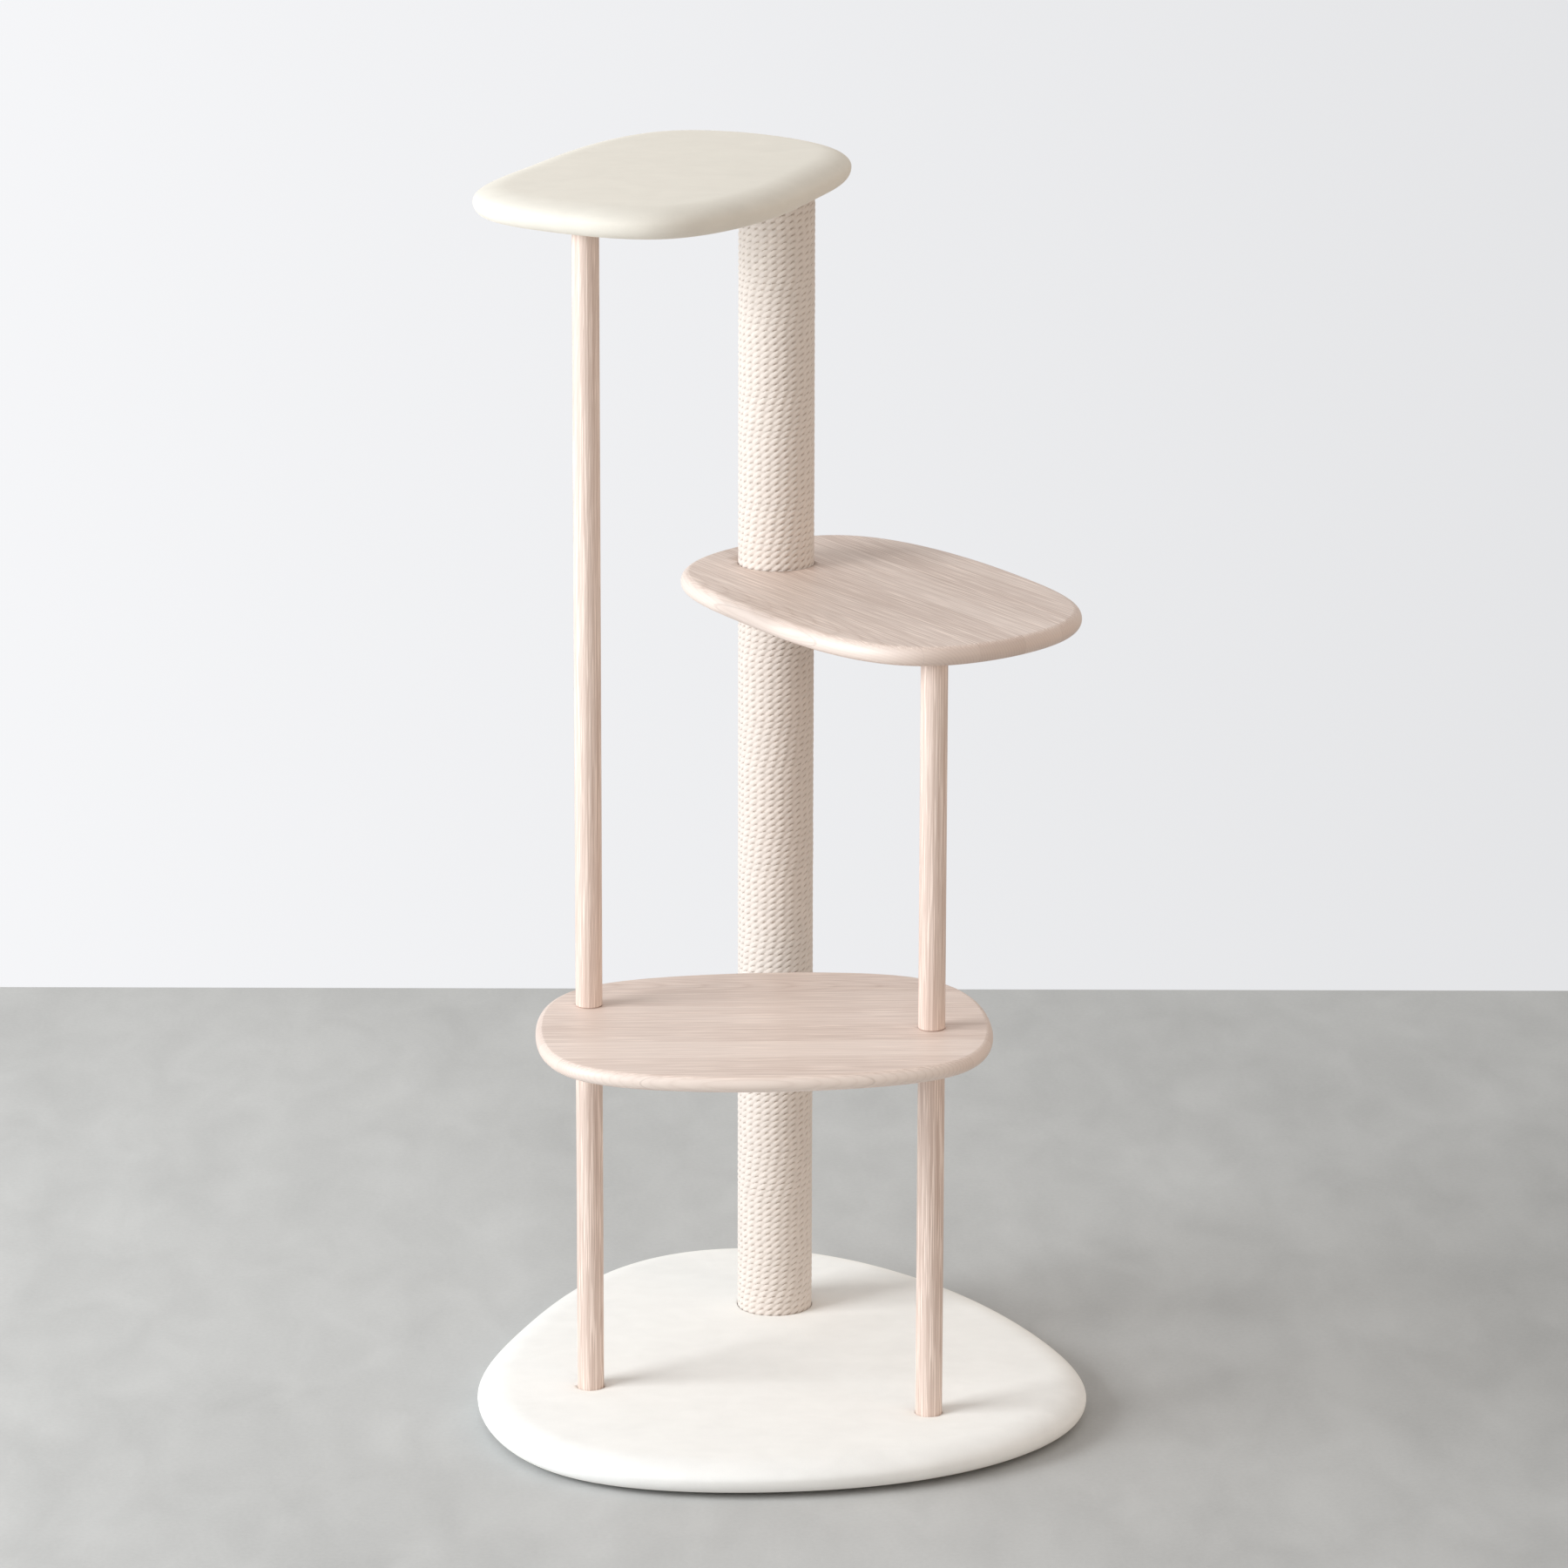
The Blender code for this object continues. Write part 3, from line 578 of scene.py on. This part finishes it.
class CATTREE_OT_stage(bpy.types.Operator):
    """Camera, pale floor, backdrop and soft studio light"""

    bl_idname = "cat_tree.stage"
    bl_label = "Stage"

    def execute(self, context):
        self.camera(context)
        self.floor()
        self.backdrop(context)
        self.lights()
        return {"FINISHED"}

    def camera(self, context):
        """A long lens from the front, which looks down by about 15 degrees."""
        at, down, roll = (0.0006, -8.0450, 2.8901), 0.264322, 0.00238969
        ahead = Vector((0, math.cos(down), -math.sin(down)))
        level = Vector((1, 0, 0))
        upright = Vector((0, math.sin(down), math.cos(down)))
        right = math.cos(roll) * level + math.sin(roll) * upright
        top = math.cos(roll) * upright - math.sin(roll) * level
        lens = bpy.data.cameras.new("camera")
        lens.lens = 170.0
        lens.sensor_width = 36.0
        lens.clip_end = 60.0
        camera = put_in_scene("camera", lens)
        turn = Matrix((right, top, -ahead)).transposed().to_4x4()
        camera.matrix_world = Matrix.Translation(at) @ turn
        context.scene.camera = camera
        context.scene.view_settings.view_transform = "Standard"

    def floor(self):
        """A smooth cement floor that ends in a straight line behind the tree, with painted shade:
        its colour darkens towards the right and lightens further back.
        """
        side, front, back = 7.0, -9.0, 1.57
        mesh = bpy.data.meshes.new("floor")
        mesh.from_pydata([(-side, front, 0), (side, front, 0), (side, back, 0), (-side, back, 0)],
                         [], [(0, 1, 2, 3)])
        cement = Finish("cement", Roughness=1.0, Specular_IOR_Level=0.05)
        spot = cement.place()
        clouds = cement.noise(cement.stretch(spot, (2.4, 0.95, 1)), 1.0, 9.0, 0.8)
        smears = cement.noise(cement.stretch(spot, (13, 6, 1)), 1.0, 6.0, 0.4)
        grit = cement.noise(spot, 190.0, 4.0)
        tone = cement.total(cement.levels(clouds, 0.3, 0.7, 0.0, 0.55),
                            cement.levels(smears, 0.3, 0.7, 0.0, 0.42),
                            cement.levels(grit, 0.25, 0.75, -0.05, 0.20), clamp=True)
        # painted shade: the colour is scaled down towards +X and up towards +Y, for the fall-off
        # of the studio light across the floor
        spot_parts = cement.split(spot)
        across = cement.levels(spot_parts["X"], 0.1, 1.6, 1.0, 0.84)
        away = cement.levels(spot_parts["Y"], -1.5, 1.5, 0.95, 1.07)
        tint = chosen("floor")
        grey = cement.mix(tone, shade(tint, 0.87), shade(tint, 1.10))
        grey = cement.add("ShaderNodeVectorMath", {
            0: grey, "Scale": cement.math("MULTIPLY", across, away)}, operation="SCALE")
        mesh.materials.append(cement.surface(grey, None, grit, relief=0.2 * MM, strength=0.2))
        put_in_scene("floor", mesh)

    def backdrop(self, context):
        """Pale surroundings, a little brighter on the side of the main light."""
        world = bpy.data.worlds.new("backdrop")
        world.use_nodes = True
        world.node_tree.nodes.clear()
        air = Nodes(world.node_tree)
        sideways = air.split(air.add("ShaderNodeTexCoord", {}, "Generated"))["X"]
        seen = air.add("ShaderNodeBackground", {
            "Color": (0.838, 0.842, 0.858, 1),
            "Strength": air.levels(sideways, -0.11, 0.11, 1.10, 0.925)})
        tint = air.mix(air.levels(sideways, -0.2, 1.0), (0.955, 0.985, 1.0), (0.98, 0.84, 0.72))
        glow = air.add("ShaderNodeBackground", {"Color": tint, "Strength": 0.66})
        camera_ray = air.add("ShaderNodeLightPath", {}, "Is Camera Ray")
        either = air.add("ShaderNodeMixShader", {0: camera_ray, 1: glow, 2: seen})
        output = air.tree.nodes.new("ShaderNodeOutputWorld")
        air.tree.links.new(either, output.inputs["Surface"])
        context.scene.world = world

    def lights(self):
        """A big soft box on the left, and a weak warm one on the right."""
        aim = Vector((0.0, 0.0, 0.7))
        for name, at, size, power, tint in (
                ("soft_box", (-4.4, -1.7, 2.2), 2.9, 258.0, (0.975, 0.99, 1.0)),
                ("warm_bounce", (5.4, -5.1, 1.3), 4.1, 75.0, (1.0, 0.75, 0.55))):
            lamp = bpy.data.lights.new(name, "AREA")
            lamp.shape = "SQUARE"
            lamp.size = size
            lamp.energy = power
            lamp.color = tint
            holder = put_in_scene(name, lamp)
            towards = aim - Vector(at)
            holder.matrix_world = (Matrix.Translation(at)
                                   @ towards.to_track_quat("-Z", "Y").to_matrix().to_4x4())
            holder.visible_camera = False


class CATTREE_OT_shelves(bpy.types.Operator):
    """The two shelves of limed ash, with a rounded edge that meets the top in a fine crease"""

    bl_idname = "cat_tree.shelves"
    bl_label = "Shelves"

    def execute(self, context):
        sizes = context.scene.cat_tree_sizes
        self.shelf("lower_shelf", LOWER_SHELF_POINTS, sizes.lower_shelf_round, 2.0, 3.0, 0.0)
        self.shelf("mid_shelf", MID_SHELF_POINTS, sizes.mid_shelf_round, -57.0, 7.0, 0.22)
        return {"FINISHED"}

    def shelf(self, node, points, radius, grain_degrees, seed, depth):
        """A board with the plan of an outline and an edge that is an arc of one radius.

        Round the edge, a point is the outline's, moved in by radius * (1 - cos a) at the
        height radius * sin a over the board's middle, for a from the top's crease to the
        bottom's. The flat faces shrink evenly from there to the middle of the outline.
        """
        low, high = low_corner(node), high_corner(node)
        place, inward = outline(points, 400, node)
        middle = (low.z + high.z) / 2
        crease = math.asin(min(1.0, (high.z - low.z) / 2 / radius))
        angle = np.linspace(crease, -crease, 44)
        flat = np.linspace(0.0, 1.0, 13)[:-1]
        edge = radius * (1 - np.cos(angle))
        face = np.ones(len(flat))
        shrink = np.concatenate([flat, np.ones(len(angle)), flat[::-1]])
        inset = np.concatenate([edge[0] * face, edge, edge[-1] * face])
        height = np.concatenate([high.z * face, middle + radius * np.sin(angle), low.z * face])
        board = stepped_outline(place, inward, shrink, inset, height)
        turn = math.radians(grain_degrees)
        wood = limed_ash(
            f"{node}_ash", (0, 0, -turn), (0, 0, -middle), (math.cos(turn), math.sin(turn), 0),
            bpy.context.scene.cat_tree_sizes.stave_width, seed, depth=depth)
        piece = place_piece(grid_mesh(node + "_board", board[::-1]), wood, node,
                            crease=6.0)
        bore(piece, self.holes(node))

    def holes(self, node):
        """Through holes for the studs; in the middle shelf, also the rope post's recess and
        the right post's blind bore."""
        under = low_corner(node).z - CUT_PAST
        over = high_corner(node).z + CUT_PAST
        right = axis_of("right_post_upper")
        if node == "lower_shelf":
            left = axis_of("left_post_upper")
            return [(at, ((STUD_HOLE, under), (STUD_HOLE, over))) for at in (left, right)]
        rope = axis_of("rope_post_upper_winding")
        seat = low_corner("rope_post_upper_winding").z - HOLE_PLAY
        blind = high_corner("mid_shelf_insert").z + HOLE_PLAY
        return [
            (rope, ((STUD_HOLE, under), (STUD_HOLE, seat), (ROPE_SEAT, seat), (ROPE_SEAT, over))),
            (right, ((INSERT_HOLE, under), (INSERT_HOLE, blind))),
        ]


class CATTREE_OT_posts(bpy.types.Operator):
    """The halves of the two dowel posts, with the grain along them"""

    bl_idname = "cat_tree.posts"
    bl_label = "Dowel posts"

    def execute(self, context):
        chamfer = context.scene.cat_tree_sizes.post_chamfer
        for node, seed in WOODEN_POSTS:
            low, high = low_corner(node).z, high_corner(node).z
            radius = (high_corner(node).x - low_corner(node).x) / 2
            axis = axis_of(node)
            bottom_bore, top_bore = low + INSERT_DEPTH, high - INSERT_DEPTH
            profile = [
                (0, bottom_bore), (INSERT_HOLE, bottom_bore), (INSERT_HOLE, low),
                (radius - chamfer, low), (radius, low + chamfer),
                (radius, high - chamfer), (radius - chamfer, high),
                (INSERT_HOLE, high), (INSERT_HOLE, top_bore), (0, top_bore),
            ]
            wood = limed_ash(f"{node}_ash", (0, math.pi / 2, 0), (0, -axis[1], axis[0]),
                             (0, 0, 1), seed=seed, tilt=0.05, depth=0.34)
            place_piece(turned_mesh(node + "_dowel", axis, profile, 72), wood, node,
                        crease=30.0)
        return {"FINISHED"}


class CATTREE_OT_rope(bpy.types.Operator):
    """The three-strand cotton rope wound round both halves of the rope post"""

    bl_idname = "cat_tree.rope"
    bl_label = "Rope winding"

    def execute(self, context):
        cotton = cotton_rope("cotton_rope")
        for node, sleeves in ROPE_WINDINGS:
            low, high = low_corner(node).z, high_corner(node).z
            for number in range(sleeves):
                self.winding(node, number + 1, low + (high - low) * number / sleeves,
                             low + (high - low) * (number + 1) / sleeves, cotton)
        return {"FINISHED"}

    def winding(self, node, number, bottom, top, cotton):
        """One stretch of close turns, as a sleeve whose outside is the rope's own surface.

        A grid whose columns go round the post and whose rows climb with the winding: the
        height is pitch * (row / rows per turn + turn), so a row ends on the row that is one
        turn up. Rows past an end are held at the end's height, on the inside of the sleeve.
        """
        sizes = bpy.context.scene.cat_tree_sizes
        pitch, rope_radius = sizes.rope_pitch, sizes.rope_diameter / 2
        outer = (high_corner(node).x - low_corner(node).x) / 2
        rows = np.arange(-2 * ROWS_PER_TURN,
                         math.ceil((top - bottom) / pitch + 2) * ROWS_PER_TURN + 1)
        row = (rows + math.floor(bottom / pitch) * ROWS_PER_TURN)[:, None]
        turn = np.arange(ROPE_COLUMNS)[None, :] / ROPE_COLUMNS
        height = pitch * (row / ROWS_PER_TURN + turn)
        held = np.clip(height, bottom, top)
        climbed = held / pitch - turn
        whole = np.floor(climbed + 1e-6)
        across = (climbed - whole - 0.5) * pitch
        wound = turn + whole
        drift = 0.22 * np.sin(wound * 0.37) + 0.10 * np.sin(wound * 1.13 + 1.0)
        laid = (outer - rope_radius) * FULL_TURN * wound + drift * sizes.rope_lay / 3
        hollow = self.hollow(across, laid, rope_radius, sizes.rope_lay)
        radius = outer - FLATTENING * hollow * rope_radius
        # past an end, one row stays at the end and the others go to the inner wall there
        radius = np.where(abs(held - height) < pitch / ROWS_PER_TURN, radius, SLEEVE_WALL)
        mesh = self.sleeve(f"{node}_{number}", axis_of(node), radius, held)
        self.mark(mesh, hollow, laid, across)
        piece = place_piece(mesh, cotton, node, crease=75.0)
        self.sharpen_ends(piece.data, bottom, top)

    def hollow(self, across, laid, rope_radius, lay):
        """How deep the surface lies under the rope's outside, as a share of its radius.

        Across a turn at c and along the rope at s, the surface stands over the rope's
        centre line by the highest of three strands, b sin t + sqrt(a^2 - (c - b cos t)^2),
        whose angle t goes round once in one lay; a is the strands' radius and b their
        distance from the middle of the rope.
        """
        strand = rope_radius * STRAND_SHARE
        offset = rope_radius - strand
        lift = np.full(across.shape, -0.35 * rope_radius)
        for number in range(3):
            twist = FULL_TURN * (number / 3 - laid / lay)
            reach = strand ** 2 - (SQUEEZE * across - offset * np.cos(twist)) ** 2
            lobe = offset * np.sin(twist) + np.sqrt(np.maximum(reach, 0))
            lift = np.where(reach > 0, np.maximum(lift, lobe), lift)
        return (rope_radius - lift) / rope_radius

    def sleeve(self, name, axis, radius, height):
        """The grid as a closed sleeve: its first and last rows, which lie on the inner wall's
        two ends, are joined by one band."""
        angle = np.arange(ROPE_COLUMNS)[None, :] * FULL_TURN / ROPE_COLUMNS + 0 * radius
        places = np.stack([axis[0] + radius * np.cos(angle),
                           axis[1] + radius * np.sin(angle), height], axis=-1)
        index = np.arange(radius.size).reshape(radius.shape)
        beside = np.roll(index, -1, axis=1)
        beside[:-ROWS_PER_TURN, -1] = index[ROWS_PER_TURN:, 0]
        index_low, beside_low = index[:-ROWS_PER_TURN], beside[:-ROWS_PER_TURN]
        outside = np.stack([index_low[:-1], beside_low[:-1], beside_low[1:], index_low[1:]],
                           axis=-1).reshape(-1, 4)
        first, last = index[0], index[-1]
        inside = np.stack([first, last, np.roll(last, -1), np.roll(first, -1)], axis=-1)
        return mesh_of(name, places.reshape(-1, 3), np.concatenate([outside, inside]))

    def mark(self, mesh, hollow, laid, across):
        """Give the vertices their hollow and their place along a strand's fibres, for the
        material, and then merge those that lie at the same place."""
        layer = mesh.attributes.new("hollow", "FLOAT", "POINT")
        layer.data.foreach_set("value", hollow.astype(np.float32).ravel())
        layer = mesh.attributes.new("strand", "FLOAT_VECTOR", "POINT")
        fibre = np.stack([laid + FIBRE_LEAN * across, across - FIBRE_LEAN * laid, 0 * laid],
                         axis=-1)
        layer.data.foreach_set("vector", fibre.astype(np.float32).ravel())
        whole = bmesh.new()
        whole.from_mesh(mesh)
        bmesh.ops.remove_doubles(whole, verts=whole.verts, dist=2e-6)
        whole.to_mesh(mesh)
        whole.free()

    def sharpen_ends(self, mesh, bottom, top):
        """Mark the edges that lie in a sleeve's two end planes as sharp."""
        pairs = np.empty(len(mesh.edges) * 2, np.int32)
        mesh.edges.foreach_get("vertices", pairs)
        ends = read_places(mesh)[:, 2][pairs.reshape(-1, 2)]
        flat = (abs(ends - bottom) < 1e-6).all(axis=1) | (abs(ends - top) < 1e-6).all(axis=1)
        sharp = np.empty(len(mesh.edges), bool)
        mesh.edges.foreach_get("use_edge_sharp", sharp)
        mesh.edges.foreach_set("use_edge_sharp", sharp | flat)


class CATTREE_OT_upholstery(bpy.types.Operator):
    """The velour covers of the base and the perch, swelled by their padding"""

    bl_idname = "cat_tree.upholstery"
    bl_label = "Upholstery"

    def execute(self, context):
        dip = context.scene.cat_tree_sizes.post_dip
        posts = [(axis_of("left_post_lower"), POST_RADIUS, dip),
                 (axis_of("right_post_lower"), POST_RADIUS, dip),
                 (axis_of("rope_post_lower_winding"), ROPE_POST_RADIUS, 0.4 * dip)]
        base_fabric = velour("base_velour", chosen("base_velour"), 1.0)
        base = self.cover("base_cover", BASE_POINTS, posts, base_fabric, "base_velour")
        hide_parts("base_foam")
        top = high_corner("base_cover").z
        bore(base, [(at, ((radius + SNUG, top - 8 * MM), (radius + SNUG, top + 8 * MM)))
                    for at, radius, _ in posts])
        perch_fabric = velour("perch_velour", chosen("perch_velour"), 4.0)
        perch = self.cover("perch_cover", PERCH_POINTS, [], perch_fabric, "perch_velour")
        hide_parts("perch_foam")
        return {"FINISHED"}

    def cover(self, node, points, posts, fabric, slot):
        """A skin over the top and round edge, turned in underneath.

        Its outside is the outline stepped in by the profile, plus the swell of the padding.
        Round a post it dips by depth * e^(-distance / reach). Its inside is a plainer
        profile, one thickness in, and the two join at the pole and at the flap's end.
        """
        sizes = bpy.context.scene.cat_tree_sizes
        low, high = low_corner(node).z, high_corner(node).z
        middle = (low + high) / 2
        outside = self.profile(low, high, 0.0, 30, 56)
        place, inward = outline(points, 480, node)
        outer = stepped_outline(place, inward, *outside)
        outer = outer + self.swell(node, posts, outside, place, inward)
        for at, radius, depth in posts:
            away = np.hypot(outer[..., 0] - at[0], outer[..., 1] - at[1]) - radius
            dip = depth * np.exp(-np.maximum(away, 0) / sizes.post_dip_reach)
            outer[..., 2] -= np.where(outer[..., 2] > middle, dip, 0)
        thick = sizes.cover_thickness
        inside = self.profile(low + thick, high - thick, thick, 14, 8)
        inner = stepped_outline(place, inward, *inside)
        if posts:
            inner[..., 2] -= np.where(inner[..., 2] > middle, sizes.post_dip, 0)
        skin = np.concatenate([outer, inner[::-1]])
        piece = place_piece(grid_mesh(node + "_velour", skin[::-1]), fabric, node,
                            crease=45.0)
        return piece

    def profile(self, low, high, start, arc_steps, top_steps):
        """(shrink, inset, height) from the pole on top, out over a long soft shoulder (a
        quarter of an ellipse) and down the lower quarter round, to the end of the flap
        underneath."""
        radius = (high - low) / 2
        shoulder = bpy.context.scene.cat_tree_sizes.cover_shoulder - start
        angle = np.linspace(math.pi / 2, -math.pi / 2, arc_steps)
        reach = np.where(angle > 0, shoulder, radius)
        flap = np.linspace(radius + start, FLAP_REACH, 5)[1:]
        shrink = np.concatenate([
            np.linspace(0, 1, top_steps + 1)[:-1], np.ones(arc_steps + len(flap))])
        inset = np.concatenate([
            np.full(top_steps, start + shoulder), start + reach * (1 - np.cos(angle)), flap])
        height = np.concatenate([
            np.full(top_steps, high), (low + high) / 2 + radius * np.sin(angle),
            np.full(len(flap), low)])
        return shrink, inset, height

    def swell(self, node, posts, outside, place, inward):
        """How the padding lifts the cover: a pressed cloth, held along its underside and
        round the posts, on a coarser grid; its movement is carried over row by row."""
        height = outside[2]
        rows, columns = len(height), len(place)
        low = low_corner(node).z
        pick_rows = np.unique(np.concatenate([
            [0], np.arange(8, rows, CLOTH_ROW_STEP), [rows - 1]]))
        pick_columns = np.arange(0, columns, CLOTH_COLUMN_STEP)
        coarse = stepped_outline(place[pick_columns], inward[pick_columns],
                                 *(part[pick_rows] for part in outside))
        floor = coarse[-1].mean(axis=0) * np.ones_like(coarse[:1])
        mesh = grid_mesh("swelling", np.concatenate([coarse, floor])[::-1])
        rest = read_places(mesh)
        held = rest[:, 2] < low + 4 * MM
        for at, radius, _ in posts:
            held |= np.hypot(rest[:, 0] - at[0], rest[:, 1] - at[1]) < radius + 6 * MM
        shift = self.pressed(mesh, held) - rest
        size = np.linalg.norm(shift, axis=1)[:, None]
        cap = bpy.context.scene.cat_tree_sizes.cover_swell
        shift *= cap / np.maximum(size, max(np.percentile(size, 98), cap))
        # back onto the coarse grid, which was turned round for the mesh
        middle = shift[1:-1].reshape(len(pick_rows) - 1, len(pick_columns), 3)[::-1]
        pole = np.broadcast_to(shift[-1], (1, len(pick_columns), 3))
        grid = np.concatenate([pole, middle])
        for _ in range(6):
            grid = (np.roll(grid, 1, axis=1) + 2 * grid + np.roll(grid, -1, axis=1)) / 4
            grid[1:-1] = (grid[:-2] + 2 * grid[1:-1] + grid[2:]) / 4
        grid *= np.clip((height[pick_rows] - low - 2 * MM) / (8 * MM), 0, 1)[:, None, None]
        return self.refined(grid, pick_rows, pick_columns, rows, columns)

    def pressed(self, mesh, held):
        """Where Blender's cloth, under an even pressure, brings the mesh's vertices."""
        scene = bpy.context.scene
        cloth = put_in_scene("swelling", mesh)
        group = cloth.vertex_groups.new(name="held")
        group.add(np.flatnonzero(held).tolist(), 1.0, "REPLACE")
        settings = cloth.modifiers.new("Cloth", "CLOTH").settings
        settings.use_pressure = True
        settings.uniform_pressure_force = 4.0
        settings.vertex_group_mass = "held"
        settings.effector_weights.gravity = 0.0
        settings.tension_stiffness = 40.0
        settings.compression_stiffness = 40.0
        settings.bending_stiffness = 2.0
        for number in range(1, CLOTH_FRAMES + 1):
            scene.frame_set(number)
        graph = bpy.context.evaluated_depsgraph_get()
        moved = read_places(cloth.evaluated_get(graph).data)
        bpy.data.objects.remove(cloth)
        scene.frame_set(1)
        return moved

    def refined(self, grid, pick_rows, pick_columns, rows, columns):
        """A coarse grid's values on the fine one: even steps between the picked rows, and
        between the picked columns, of which the last runs on to the first."""
        grid = np.concatenate([grid, grid[:, :1]], axis=1)
        down = np.searchsorted(pick_rows, np.arange(rows), side="right") - 1
        down = np.clip(down, 0, len(pick_rows) - 2)
        share = ((np.arange(rows) - pick_rows[down]) / np.diff(pick_rows)[down])[:, None, None]
        rows_done = grid[down] * (1 - share) + grid[down + 1] * share
        stops = np.append(pick_columns, columns)
        right = np.arange(columns) // CLOTH_COLUMN_STEP
        share = ((np.arange(columns) - stops[right]) / CLOTH_COLUMN_STEP)[None, :, None]
        return rows_done[:, right] * (1 - share) + rows_done[:, right + 1] * share


class CATTREE_OT_underside(bpy.types.Operator):
    """Finishes of the liners, feet, boards, padding and tubes"""

    bl_idname = "cat_tree.underside"
    bl_label = "Underside and inside"

    def execute(self, context):
        ply = plain_finish("plywood", chosen("plywood"), 0.7, 260.0, 0.1 * MM,
                           stretch=(0.05, 1, 4))
        dress((
            # the near-black dust cover stands in for the shade in the gap under the base's edge
            ("base_liner", plain_finish("dust_cover", chosen("liner"), 0.92, 900.0, 0.2 * MM)),
            ("perch_liner", velour("perch_underside", chosen("perch_velour"), 6.0)),
            ("foot", plain_finish("foot_felt", chosen("feet"), 0.9, 1400.0, 0.3 * MM)),
            ("board", ply),
            ("plug", ply),
            ("foam", plain_finish("foam", chosen("foam"), 0.95, 700.0, 0.4 * MM)),
            ("core", plain_finish("paper_tube", chosen("cardboard"), 0.85, 400.0, 0.1 * MM)),
        ))
        return {"FINISHED"}


class CATTREE_OT_fasteners(bpy.types.Operator):
    """Finishes of the bolts, washers, studs, nuts and threaded inserts"""

    bl_idname = "cat_tree.fasteners"
    bl_label = "Fasteners"

    def execute(self, context):
        zinc = plain_finish("zinc_plate", chosen("zinc"), 0.35, 800.0, 0.02 * MM, 1.0)
        brass = plain_finish("turned_brass", chosen("brass"), 0.32, 800.0, 0.02 * MM, 1.0,
                             (1, 1, 8))
        dress((("insert", brass), ("bolt", zinc), ("washer", zinc), ("stud", zinc),
               ("tee_nut", zinc)))
        return {"FINISHED"}


def dress(finishes):
    """Give each CAD node the finish of the first word that its name holds."""
    for node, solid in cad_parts.items():
        for word, finish in finishes:
            if word in node:
                solid.data.materials.clear()
                solid.data.materials.append(finish)
                break


class CATTREE_PT_panel(bpy.types.Panel):
    """Sizes, colours and the steps that build the cat tree"""

    bl_idname = "CATTREE_PT_panel"
    bl_label = "Cat tree"
    bl_space_type = "VIEW_3D"
    bl_region_type = "UI"
    bl_category = "Cat tree"

    def draw(self, context):
        for title, group in (("Sizes", context.scene.cat_tree_sizes),
                             ("Colours", context.scene.cat_tree_colours)):
            box = self.layout.box()
            box.label(text=title)
            for name in group.__annotations__:
                box.prop(group, name)
        for step in STEPS:
            self.layout.operator(step.bl_idname)


STEPS = (
    CATTREE_OT_stage, CATTREE_OT_shelves, CATTREE_OT_posts, CATTREE_OT_rope,
    CATTREE_OT_upholstery, CATTREE_OT_underside, CATTREE_OT_fasteners,
)
CLASSES = (CatTreeSizes, CatTreeColours, *STEPS, CATTREE_PT_panel)


def register():
    for made in CLASSES:
        bpy.utils.register_class(made)
    bpy.types.Scene.cat_tree_sizes = bpy.props.PointerProperty(type=CatTreeSizes)
    bpy.types.Scene.cat_tree_colours = bpy.props.PointerProperty(type=CatTreeColours)


def unregister():
    del bpy.types.Scene.cat_tree_colours
    del bpy.types.Scene.cat_tree_sizes
    for made in reversed(CLASSES):
        bpy.utils.unregister_class(made)


def main():
    register()
    bpy.ops.cat_tree.stage()
    bpy.ops.cat_tree.shelves()
    bpy.ops.cat_tree.posts()
    bpy.ops.cat_tree.rope()
    bpy.ops.cat_tree.upholstery()
    bpy.ops.cat_tree.underside()
    bpy.ops.cat_tree.fasteners()


if __name__ == "__main__":
    main()
